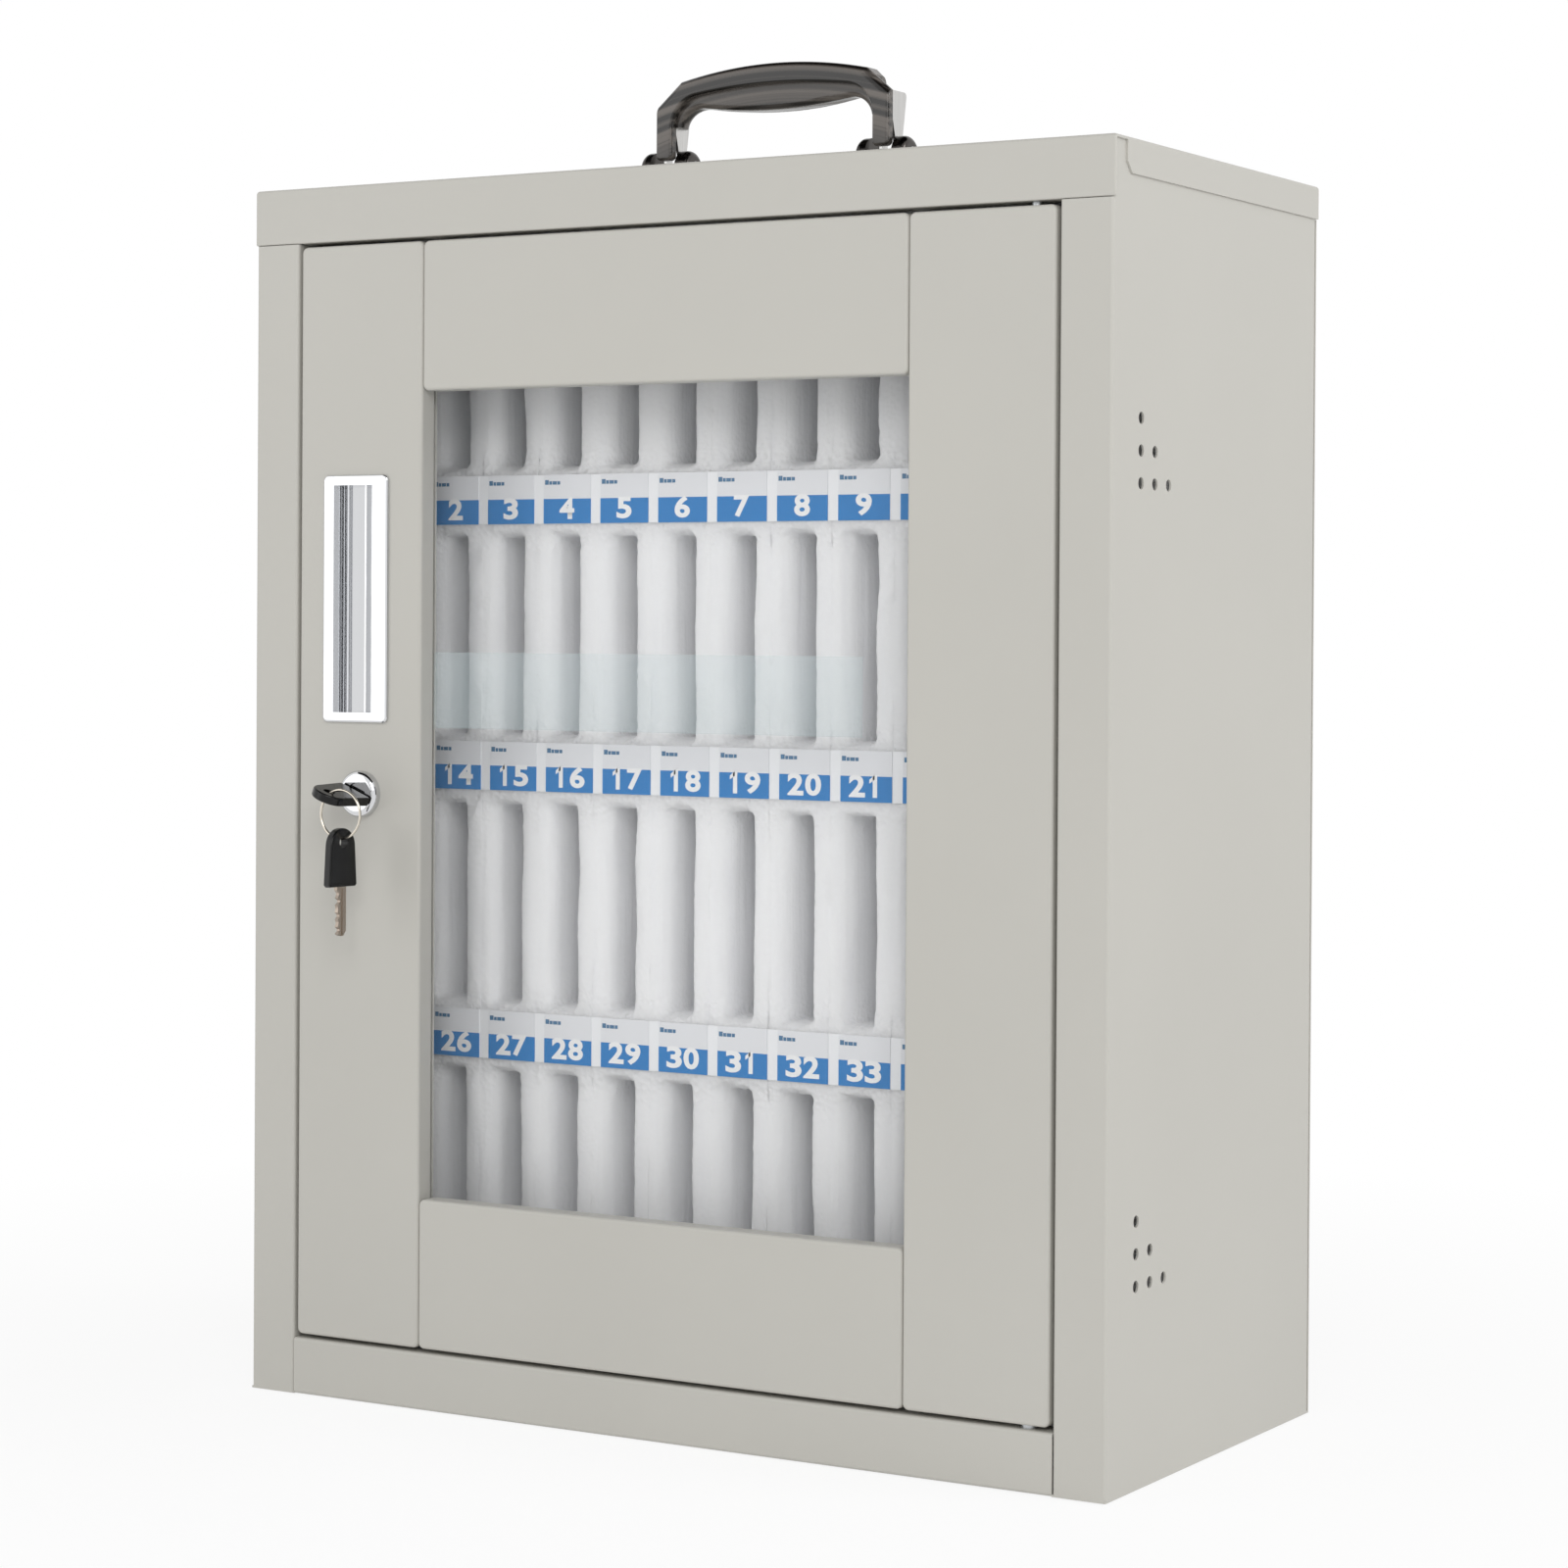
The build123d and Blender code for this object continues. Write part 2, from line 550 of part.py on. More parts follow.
# ---- Carry handle ----
leg_out = LEG_IN + LEG_W
grip_front = mid_y - GRIP_D / 2
band_back = grip_front + BAND_T
tab_z = CAB_H + TAB_UP
rear_z = CAB_H + REAR_UP
shoulder_z = CAB_H + SHOULDER_UP
crest_z = CAB_H + CREST_UP
arch_top = ThreePointArc((-CREST_X, crest_z), (0, CAB_H + ARCH_UP), (CREST_X, crest_z))


def arched_underside(end_x, end_z, arm, crest_x, crest_up, mid_up):
    """The lower outline between two legs: a quarter turn up each leg and a long flat arc between."""
    arm_x, arm_z = arm[0], CAB_H + arm[1]
    crest = CAB_H + crest_up
    return [
        ThreePointArc((end_x, end_z), (arm_x, arm_z), (crest_x, crest)),
        ThreePointArc((crest_x, crest), (0, CAB_H + mid_up), (-crest_x, crest)),
        ThreePointArc((-crest_x, crest), (-arm_x, arm_z), (-end_x, end_z)),
    ]


# The front band runs down into a flat tab at each end
band_outline = [
    Polyline(
        (-LEG_IN, rear_z), (-LEG_IN, tab_z), (-leg_out, tab_z), (-leg_out, shoulder_z),
        (-CREST_X, crest_z),
    ),
    arch_top,
    Polyline(
        (CREST_X, crest_z), (leg_out, shoulder_z), (leg_out, tab_z), (LEG_IN, tab_z), (LEG_IN, rear_z),
    ),
]
band_outline += arched_underside(LEG_IN, rear_z, BAND_ARM, BAND_CREST_X, BAND_CREST_UP, BAND_MID_UP)
band = Pos(0, band_back, 0) * Rot(90, 0, 0) * extrude(make_face(band_outline), BAND_T)
band = fillet(band.edges().filter_by(Axis.Y).group_by(Axis.Z)[0], TAB_R)

# The palm swells behind it, deepest in the middle, with a drop below the band to fill the hand
slant = (crest_z - shoulder_z) / (leg_out - CREST_X)
end_z = crest_z - (LEG_IN - CREST_X) * slant
palm_outline = [
    Polyline((-UNDER_END_X, rear_z), (-LEG_IN, rear_z), (-LEG_IN, end_z), (-CREST_X, crest_z)),
    arch_top,
    Polyline((CREST_X, crest_z), (LEG_IN, end_z), (LEG_IN, rear_z), (UNDER_END_X, rear_z)),
]
palm_outline += arched_underside(
    UNDER_END_X, rear_z, UNDER_ARM, UNDER_CREST_X, UNDER_CREST_UP, UNDER_MID_UP
)
palm_back = grip_front + GRIP_D
palm_end = grip_front + GRIP_END_D
palm = Pos(0, palm_back, 0) * Rot(90, 0, 0) * extrude(make_face(palm_outline), GRIP_D - BAND_T)
plan = [
    Polyline((-LEG_IN, palm_end), (-LEG_IN, band_back), (LEG_IN, band_back), (LEG_IN, palm_end)),
    ThreePointArc((LEG_IN, palm_end), (0, palm_back), (-LEG_IN, palm_end)),
]
palm = palm & (Pos(0, 0, CAB_H) * extrude(make_face(plan), ARCH_UP + 1))
rear = [e for e in palm.edges() if e.center().Y > palm_end - 1]
palm = fillet([e for e in rear if rear_z + 1 < e.center().Z < CAB_H + UNDER_ARM[1] + 1], REAR_LOW_R)
rear = [e for e in palm.edges() if e.center().Y > palm_end - 1]
palm = fillet([e for e in rear if e.center().Z > CAB_H + BAND_MID_UP], REAR_TOP_R)
grip = band + palm
seam = [e for e in grip.edges() if abs(e.center().Y - band_back) < 0.3]
lip = [e for e in seam if rear_z + 1 < e.center().Z < CAB_H + UNDER_ARM[1] + 1]
grip = fillet([e for e in lip if abs(e.center().X) < UNDER_ARM[0] + 1], PALM_R)
front = [e for e in grip.edges() if abs(e.center().Y - grip_front) < 0.05]
over = [e for e in front if e.center().Z > shoulder_z + 1 and (
    e.center().Z > crest_z + 1 or abs(e.center().X) > CREST_X + 1)]
grip = fillet(over, BAND_TOP_R)
front = [e for e in grip.edges() if abs(e.center().Y - grip_front) < 0.05]
grip = fillet(
    [e for e in front if e.center().Z < crest_z - BAND_TOP_R or e.center().Z < CAB_H + BAND_MID_UP + 1],
    BAND_R,
)
pieces["handle_grip"] = grip

pivot_z = CAB_H + PIVOT_UP
rivets = []
for side, name in ((-1, "left"), (1, "right")):
    # Strap: two tapered cheeks beside the leg and the web that joins them, let in behind the tab
    low_z = pivot_z + STRAP_LOW_UP
    strap_front, strap_back = band_back, band_back + STRAP_TOP_D
    cheek = make_face(Polyline(
        (mid_y - STRAP_LOW_D / 2, pivot_z), (mid_y - STRAP_LOW_D / 2, low_z),
        (strap_front, shoulder_z - STRAP_TOP_D), (strap_front, shoulder_z),
        (strap_back, shoulder_z), (mid_y + STRAP_LOW_D / 2, low_z), (mid_y + STRAP_LOW_D / 2, pivot_z),
        close=True,
    )) + Pos(mid_y, pivot_z) * Circle(STRAP_EYE_R)
    strap = Pos(LEG_IN, 0, 0) * (Plane.YZ.location * extrude(cheek, LEG_W))
    strap = fillet(strap.edges().filter_by(Axis.X).group_by(Axis.Z)[-1].sort_by(Axis.Y)[-1], STRAP_R)
    strap -= block(
        LEG_IN + STRAP_T, leg_out - STRAP_T, mid_y - GRIP_D, mid_y + GRIP_D, CAB_H, shoulder_z - STRAP_T
    )
    strap -= rod("X", HANDLE_PIN_R + HANDLE_FIT, LEG_IN - 1, leg_out + 1, mid_y, pivot_z)
    pieces[f"handle_strap_{name}"] = strap if side > 0 else mirror(strap, Plane.YZ)

    # Bracket and pin: the handle has end play, and rests against the right ear of each bracket
    leg_x0, leg_x1 = (LEG_IN, leg_out) if side > 0 else (-leg_out, -LEG_IN)
    ear_x0, ear_x1 = leg_x0 - EAR_GAP - PLAY, leg_x1 + EAR_GAP
    base_x0, base_x1 = ear_x0 - EAR_W, ear_x1 + EAR_W
    base_y0, base_y1 = mid_y - BASE_L / 2, mid_y + BASE_L / 2
    bracket = block(base_x0, base_x1, base_y0, base_y1, CAB_H, CAB_H + BASE_T)
    bracket = fillet(bracket.edges().filter_by(Axis.Z), 3.0)
    for e0, e1, domed in ((base_x0, ear_x0, 0), (ear_x1, base_x1, -1)):
        ear = rod("X", EAR_R, e0, e1, mid_y, pivot_z)
        ear += block(e0, e1, mid_y - EAR_R, mid_y + EAR_R, CAB_H + BASE_T, pivot_z)
        rim = ear.faces().sort_by(Axis.X)[domed].edges()
        bracket += fillet([e for e in rim if e.center().Z > CAB_H + BASE_T + 0.1], EAR_DOME)
    bracket -= rod("X", HANDLE_PIN_R, base_x0 - 1, base_x1 + 1, mid_y, pivot_z)
    pin = rod("X", HANDLE_PIN_R, base_x0, base_x1, mid_y, pivot_z)
    for e0, e1, face in (
        (base_x0 - PIN_BUTTON_T, base_x0, 0), (base_x1, base_x1 + PIN_BUTTON_T, -1)
    ):
        button = rod("X", PIN_BUTTON_R, e0, e1, mid_y, pivot_z)
        pin += fillet(button.faces().sort_by(Axis.X)[face].edges(), PIN_BUTTON_T * 0.8)
    pieces[f"handle_pin_{name}"] = pin

    rivet_x = (base_x0 + base_x1) / 2
    for y in (mid_y - RIVET_Y, mid_y + RIVET_Y):
        bracket -= rod("Z", RIVET_R, CAB_H - 1, CAB_H + BASE_T + 1, rivet_x, y)
        cap -= rod("Z", RIVET_R, CAB_H - 3, CAB_H + 1, rivet_x, y)
        head = rod("Z", 3.2, CAB_H + BASE_T, CAB_H + BASE_T + 1.4, rivet_x, y)
        head = fillet(head.faces().sort_by(Axis.Z)[-1].edges(), 1.0)
        tail = rod("Z", 2.6, CAB_H - SHEET - 0.15, CAB_H - SHEET, rivet_x, y)
        rivets.append(head + rod("Z", RIVET_R, CAB_H - SHEET, CAB_H + BASE_T, rivet_x, y) + tail)
    pieces[f"handle_bracket_{name}"] = bracket
pieces["handle_rivets"] = Compound(rivets)
pieces["top_cap"] = cap

for name, shape in pieces.items():
    export_step(Pos(0, -ORIGIN_Y, 0) * shape, f"parts/{name}.step")
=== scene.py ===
import math

import bmesh
import bpy
from mathutils import Matrix, Vector, noise


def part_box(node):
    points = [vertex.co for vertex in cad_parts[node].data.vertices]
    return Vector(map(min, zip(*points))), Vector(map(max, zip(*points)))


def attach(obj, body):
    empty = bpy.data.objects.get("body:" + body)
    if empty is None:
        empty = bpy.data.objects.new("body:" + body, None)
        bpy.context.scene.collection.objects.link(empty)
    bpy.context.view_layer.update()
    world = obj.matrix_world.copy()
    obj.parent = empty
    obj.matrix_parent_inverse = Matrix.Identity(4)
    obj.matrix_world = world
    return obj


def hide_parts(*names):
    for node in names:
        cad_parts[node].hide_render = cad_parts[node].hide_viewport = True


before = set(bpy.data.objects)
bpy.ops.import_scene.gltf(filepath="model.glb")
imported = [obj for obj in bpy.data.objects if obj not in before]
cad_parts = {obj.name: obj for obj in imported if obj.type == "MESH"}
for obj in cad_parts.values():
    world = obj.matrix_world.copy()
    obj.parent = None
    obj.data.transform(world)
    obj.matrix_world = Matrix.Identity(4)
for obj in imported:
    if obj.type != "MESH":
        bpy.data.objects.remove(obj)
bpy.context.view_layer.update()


# ---- Camera ----
# The photograph was taken from the right front with a long lens, at about two thirds of the
# cabinet's height. Angles, distance and focal length come from its vanishing points and corners.
PHOTO_PX = 1600
FOCAL_PX = 3828.9
AXIS_ROW_PX = 673.6
SENSOR_MM = 36.0
yaw, pitch, roll = (math.radians(a) for a in (30.657, -0.490, 0.338))
eye = Vector((0.95022, -1.59732, 0.38286))

level = Vector((-math.sin(yaw), math.cos(yaw), 0))
ahead = math.cos(pitch) * level + math.sin(pitch) * Vector((0, 0, 1))
above = -math.sin(pitch) * level + math.cos(pitch) * Vector((0, 0, 1))
across = Vector((math.cos(yaw), math.sin(yaw), 0))
right = math.cos(roll) * across + math.sin(roll) * above
up = math.cos(roll) * above - math.sin(roll) * across
lens = bpy.data.cameras.new("camera")
lens.sensor_width = SENSOR_MM
lens.lens = FOCAL_PX / PHOTO_PX * SENSOR_MM
lens.shift_y = (AXIS_ROW_PX - PHOTO_PX / 2) / PHOTO_PX
lens.clip_start = 0.05
camera = bpy.data.objects.new("camera", lens)
camera.matrix_world = Matrix((
    (right.x, up.x, -ahead.x, eye.x),
    (right.y, up.y, -ahead.y, eye.y),
    (right.z, up.z, -ahead.z, eye.z),
    (0, 0, 0, 1),
))
bpy.context.scene.collection.objects.link(camera)
bpy.context.scene.camera = camera
bpy.context.scene.view_settings.view_transform = "Standard"


# ---- Powder-coated sheet steel ----
# Cabinet and door are folded from 1 mm mild steel sheet, spot welded, and sprayed with a warm
# light grey polyester powder. Baked powder leaves a low orange peel about 1.5 mm across and a
# satin sheen, with no metal showing.
def srgb(code):
    """A colour written as a hex value, as the linear one that a node takes."""
    channels = [int(code[i:i + 2], 16) / 255 for i in (1, 3, 5)]
    return [c / 12.92 if c <= 0.04045 else ((c + 0.055) / 1.055) ** 2.4 for c in channels] + [1.0]


def new_material(name):
    material = bpy.data.materials.new(name)
    material.use_nodes = True
    material.node_tree.nodes.clear()
    return material


def add(material, kind, settings=None, inputs=None):
    """Adds one node. An input is a value, or a (node, output name) pair to link from."""
    tree = material.node_tree
    made = tree.nodes.new(kind)
    for key, value in (settings or {}).items():
        setattr(made, key, value)
    for key, value in (inputs or {}).items():
        if isinstance(value, tuple) and isinstance(value[0], bpy.types.Node):
            tree.links.new(value[0].outputs[value[1]], made.inputs[key])
        else:
            made.inputs[key].default_value = value
    return made


def dress(material, *names):
    for name in names:
        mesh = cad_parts[name].data
        mesh.materials.clear()
        mesh.materials.append(material)


PEEL_MM = 1.5
powder = new_material("polyester_powder_coat")
place = add(powder, "ShaderNodeTexCoord")
peel = add(powder, "ShaderNodeTexNoise", inputs={
    "Vector": (place, "Object"), "Scale": 1000 / (PEEL_MM * 2), "Detail": 1.5, "Roughness": 0.4})
cloud = add(powder, "ShaderNodeTexNoise", inputs={
    "Vector": (place, "Object"), "Scale": 7.0, "Detail": 3.0, "Roughness": 0.5})
tone = add(powder, "ShaderNodeValToRGB", inputs={"Fac": (cloud, "Fac")})
tone.color_ramp.elements[0].color = srgb("#c1bfb8")
tone.color_ramp.elements[1].color = srgb("#c4c2bb")
tone.color_ramp.elements[0].position = 0.3
tone.color_ramp.elements[1].position = 0.7
sheen = add(powder, "ShaderNodeMapRange", inputs={
    "Value": (cloud, "Fac"), "To Min": 0.42, "To Max": 0.5})
bump = add(powder, "ShaderNodeBump", inputs={
    "Height": (peel, "Fac"), "Strength": 0.08, "Distance": 0.0003})
skin = add(powder, "ShaderNodeBsdfPrincipled", inputs={
    "Base Color": (tone, "Color"), "Roughness": (sheen, "Result"), "Normal": (bump, "Normal"),
    "IOR": 1.5})
add(powder, "ShaderNodeOutputMaterial", inputs={"Surface": (skin, "BSDF")})
dress(powder, "top_cap", "bottom_pan", "side_panel_left", "side_panel_right", "back_panel")
dress(powder, "door_stile_left", "door_stile_right", "door_rail_top", "door_rail_bottom")
dress(powder, "pane_holder_left", "pane_holder_right", "pane_holder_top", "pane_holder_bottom")


# ---- Bright zinc steel ----
# Hinge pins, lock nut, cam and cam screw are plain turned or stamped steel with a thin bright
# zinc plating: a cool grey metal, a little cloudy.
zinc = new_material("bright_zinc_steel")
place = add(zinc, "ShaderNodeTexCoord")
cloud = add(zinc, "ShaderNodeTexNoise", inputs={
    "Vector": (place, "Object"), "Scale": 300.0, "Detail": 2.0})
haze = add(zinc, "ShaderNodeMapRange", inputs={"Value": (cloud, "Fac"), "To Min": 0.25, "To Max": 0.4})
skin = add(zinc, "ShaderNodeBsdfPrincipled", inputs={
    "Base Color": srgb("#b9bcbe"), "Metallic": 1.0, "Roughness": (haze, "Result")})
add(zinc, "ShaderNodeOutputMaterial", inputs={"Surface": (skin, "BSDF")})
dress(zinc, "hinge_pin_top", "hinge_pin_bottom", "lock_nut", "lock_cam", "cam_screw")


# ---- Chrome ----
# The flush pull, the lock's collar and plug, and the handle's pins are polished and chrome
# plated: a mirror with a faint waviness from the pressing under it.
chrome = new_material("chrome_plate")
place = add(chrome, "ShaderNodeTexCoord")
wave = add(chrome, "ShaderNodeTexNoise", inputs={
    "Vector": (place, "Object"), "Scale": 60.0, "Detail": 1.0})
bump = add(chrome, "ShaderNodeBump", inputs={
    "Height": (wave, "Fac"), "Strength": 0.1, "Distance": 0.0004})
skin = add(chrome, "ShaderNodeBsdfPrincipled", inputs={
    "Base Color": srgb("#d6d7d9"), "Metallic": 1.0, "Roughness": 0.08, "Normal": (bump, "Normal")})
add(chrome, "ShaderNodeOutputMaterial", inputs={"Surface": (skin, "BSDF")})
dress(chrome, "flush_pull", "lock_body", "lock_plug")
dress(chrome, "handle_pin_left", "handle_pin_right")


# ---- Handle brackets ----
# Each bracket is pressed from steel and plated in black nickel, which mirrors like chrome but is
# much darker. Two rivets hold it to the top cap.
black_nickel = new_material("black_nickel_plate")
place = add(black_nickel, "ShaderNodeTexCoord")
wave = add(black_nickel, "ShaderNodeTexNoise", inputs={
    "Vector": (place, "Object"), "Scale": 90.0, "Detail": 2.0})
haze = add(black_nickel, "ShaderNodeMapRange", inputs={
    "Value": (wave, "Fac"), "To Min": 0.1, "To Max": 0.22})
skin = add(black_nickel, "ShaderNodeBsdfPrincipled", inputs={
    "Base Color": srgb("#4a4745"), "Metallic": 1.0, "Roughness": (haze, "Result")})
add(black_nickel, "ShaderNodeOutputMaterial", inputs={"Surface": (skin, "BSDF")})
dress(black_nickel, "handle_bracket_left", "handle_bracket_right", "handle_rivets")


# ---- Handle straps ----
# The two straps are spring steel strip, bent over the pins and slipped into the grip's ends. They
# are brushed along their length and nickel plated, so their shine is streaked.
BRUSH_MM = 0.6
brushed_nickel = new_material("brushed_nickel_plate")
place = add(brushed_nickel, "ShaderNodeTexCoord")
along = add(brushed_nickel, "ShaderNodeMapping", inputs={
    "Vector": (place, "Object"), "Scale": (1.0, 1.0, 0.02)})
streak = add(brushed_nickel, "ShaderNodeTexNoise", inputs={
    "Vector": (along, "Vector"), "Scale": 1000 / BRUSH_MM, "Detail": 2.0})
haze = add(brushed_nickel, "ShaderNodeMapRange", inputs={
    "Value": (streak, "Fac"), "To Min": 0.22, "To Max": 0.4})
tone = add(brushed_nickel, "ShaderNodeValToRGB", inputs={"Fac": (streak, "Fac")})
tone.color_ramp.elements[0].color = srgb("#b4b3b1")
tone.color_ramp.elements[1].color = srgb("#dddcda")
skin = add(brushed_nickel, "ShaderNodeBsdfPrincipled", inputs={
    "Base Color": (tone, "Color"), "Metallic": 1.0, "Roughness": (haze, "Result")})
add(brushed_nickel, "ShaderNodeOutputMaterial", inputs={"Surface": (skin, "BSDF")})
dress(brushed_nickel, "handle_strap_left", "handle_strap_right")


# ---- Key blades and ring ----
# The blades are stamped from nickel silver, a warm greyish metal, and have dulled with handling.
# The ring is a turn of brighter drawn steel wire.
def worn_metal(name, colour, dullest):
    """A plated metal whose shine has gone patchy, over patches a few millimetres across."""
    material = new_material(name)
    spot = add(material, "ShaderNodeTexCoord")
    patch = add(material, "ShaderNodeTexNoise", inputs={
        "Vector": (spot, "Object"), "Scale": 260.0, "Detail": 2.0})
    dulled = add(material, "ShaderNodeMapRange", inputs={
        "Value": (patch, "Fac"), "To Min": dullest / 2, "To Max": dullest})
    metal = add(material, "ShaderNodeBsdfPrincipled", inputs={
        "Base Color": srgb(colour), "Metallic": 1.0, "Roughness": (dulled, "Result")})
    add(material, "ShaderNodeOutputMaterial", inputs={"Surface": (metal, "BSDF")})
    return material


dress(worn_metal("nickel_silver", "#a89c90", 0.42), "key_blade", "spare_key_blade")
dress(worn_metal("bright_steel_wire", "#cfc8bb", 0.2), "key_ring")


# ---- Black moulded key heads ----
# The heads are black ABS moulded over the blades, with a fine spark-eroded grain. They look nearly
# black, with a sheen where the edges are rounded.
abs_black = new_material("black_abs")
place = add(abs_black, "ShaderNodeTexCoord")
grain = add(abs_black, "ShaderNodeTexNoise", inputs={
    "Vector": (place, "Object"), "Scale": 2500.0, "Detail": 1.0})
bump = add(abs_black, "ShaderNodeBump", inputs={
    "Height": (grain, "Fac"), "Strength": 0.15, "Distance": 0.0001})
skin = add(abs_black, "ShaderNodeBsdfPrincipled", inputs={
    "Base Color": srgb("#080808"), "Roughness": 0.22, "Normal": (bump, "Normal"), "IOR": 1.53,
    "Specular IOR Level": 0.3})
add(abs_black, "ShaderNodeOutputMaterial", inputs={"Surface": (skin, "BSDF")})
dress(abs_black, "key_head", "spare_key_head")


# ---- Carry grip ----
# One piece of dark grey glass-filled nylon, injection moulded, with a semi-gloss skin. Painted
# highlight and shade streaks run the length of the grip and follow its arch; the gloss varies with
# them.
STREAK_MM = 4.0
ARCH_R = 0.241
grip_low, grip_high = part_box("handle_grip")
nylon = new_material("dark_nylon")
place = add(nylon, "ShaderNodeTexCoord")
from_centre = add(nylon, "ShaderNodeVectorMath", settings={"operation": "SUBTRACT"}, inputs={
    "Vector": (place, "Object")})
from_centre.inputs[1].default_value = (0, 0, grip_high.z - ARCH_R)
flat = add(nylon, "ShaderNodeVectorMath", settings={"operation": "MULTIPLY"}, inputs={
    "Vector": (from_centre, "Vector")})
flat.inputs[1].default_value = (1, 0, 1)
radius = add(nylon, "ShaderNodeVectorMath", settings={"operation": "LENGTH"}, inputs={
    "Vector": (flat, "Vector")})
apart = add(nylon, "ShaderNodeSeparateXYZ", inputs={"Vector": (place, "Object")})
bands = add(nylon, "ShaderNodeCombineXYZ", inputs={
    "X": (radius, "Value"), "Y": (apart, "Y")})
# Painted highlight and shade: the colour runs from near black to light grey in streaks along the arch,
# in place of the grip's highlights and dark reflections. The roughness follows the same streaks.
painted_streaks = add(nylon, "ShaderNodeTexNoise", inputs={
    "Vector": (bands, "Vector"), "Scale": 1000 / STREAK_MM, "Detail": 2.0, "Roughness": 0.45})
tone = add(nylon, "ShaderNodeValToRGB", inputs={"Fac": (painted_streaks, "Fac")})
tone.color_ramp.elements[0].color = srgb("#171412")
tone.color_ramp.elements[1].color = srgb("#6c6661")
tone.color_ramp.elements[0].position = 0.4
tone.color_ramp.elements[1].position = 0.6
polish = add(nylon, "ShaderNodeMapRange", inputs={
    "Value": (painted_streaks, "Fac"), "From Min": 0.4, "From Max": 0.6, "To Min": 0.16, "To Max": 0.34})
grain = add(nylon, "ShaderNodeTexNoise", inputs={
    "Vector": (place, "Object"), "Scale": 1200.0, "Detail": 1.0})
bump = add(nylon, "ShaderNodeBump", inputs={
    "Height": (grain, "Fac"), "Strength": 0.1, "Distance": 0.0001})
skin = add(nylon, "ShaderNodeBsdfPrincipled", inputs={
    "Base Color": (tone, "Color"), "Roughness": (polish, "Result"), "Normal": (bump, "Normal"),
    "IOR": 1.53})
add(nylon, "ShaderNodeOutputMaterial", inputs={"Surface": (skin, "BSDF")})
dress(nylon, "handle_grip")


# ---- Foam insert ----
# One block of white expanded polyethylene foam, die cut with forty-eight upright slots. The
# blade drags the soft skin in, so the bars between the slots are round and a little uneven, and
# the cut beads give them a pebbled look.
FOAM_COLUMNS, FOAM_ROWS = 12, 4
FOAM_PITCH_X, FOAM_PITCH_Z = 0.0335, 0.1332
SLOT_LEFT, SLOT_RIGHT = 0.00725, 0.0064
LIP_LEFT, LIP_RIGHT = 0.0092, 0.0034
LIP_TOP, LIP_BOTTOM = 0.0040, 0.0038
LIP_DEEP = 0.0085
SLOT_CORNER_R = 0.0022
LIP_STEPS = 7
SIDE_STEPS_X, SIDE_STEPS_Z, CORNER_STEPS = 4, 34, 3
TILE_EDGE = 0.00015
BEAD_MM = 2.6
DRAG_AND_STREAK_MM = 5.0
ROUGH_FROM, ROUGH_BY = 0.036, 0.049
low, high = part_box("foam_back")
front_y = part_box("foam_layer_1")[0].y
slot_back_y = low.y
slot_rows = []
for row in range(FOAM_ROWS):
    row_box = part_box(f"foam_dividers_row_{FOAM_ROWS - row}")
    slot_rows.append((row_box[0].z, row_box[1].z))
column_x = [(c - (FOAM_COLUMNS - 1) / 2) * FOAM_PITCH_X for c in range(FOAM_COLUMNS)]
tile_x = [low.x] + [(a + b) / 2 for a, b in zip(column_x, column_x[1:])] + [high.x]
tile_z = [low.z] + [
    (a[1] + b[0]) / 2 for a, b in zip(slot_rows, slot_rows[1:])] + [high.z]


def slot_ring(x0, x1, z0, z1, corner):
    """Points around a rounded slot outline, from the middle of nothing: the same count each time."""
    points = []
    corners = ((x1 - corner, z1 - corner, 0), (x0 + corner, z1 - corner, 90),
               (x0 + corner, z0 + corner, 180), (x1 - corner, z0 + corner, 270))
    for n, (cx, cz, start) in enumerate(corners):
        for step in range(CORNER_STEPS + 1):
            a = math.radians(start + 90 * step / CORNER_STEPS)
            points.append((cx + corner * math.cos(a), cz + corner * math.sin(a)))
        nx, nz, turn = corners[(n + 1) % 4]
        a = math.radians(turn)
        end = (nx + corner * math.cos(a), nz + corner * math.sin(a))
        sides = SIDE_STEPS_X if n % 2 == 0 else SIDE_STEPS_Z
        x, z = points[-1]
        for step in range(1, sides):
            f = step / sides
            points.append((x + (end[0] - x) * f, z + (end[1] - z) * f))
    return points


def uneven(point, size, amount, seed):
    """A smooth push in any direction that differs from place to place."""
    return noise.noise_vector(point / size + Vector((seed, 0, 0))) * amount


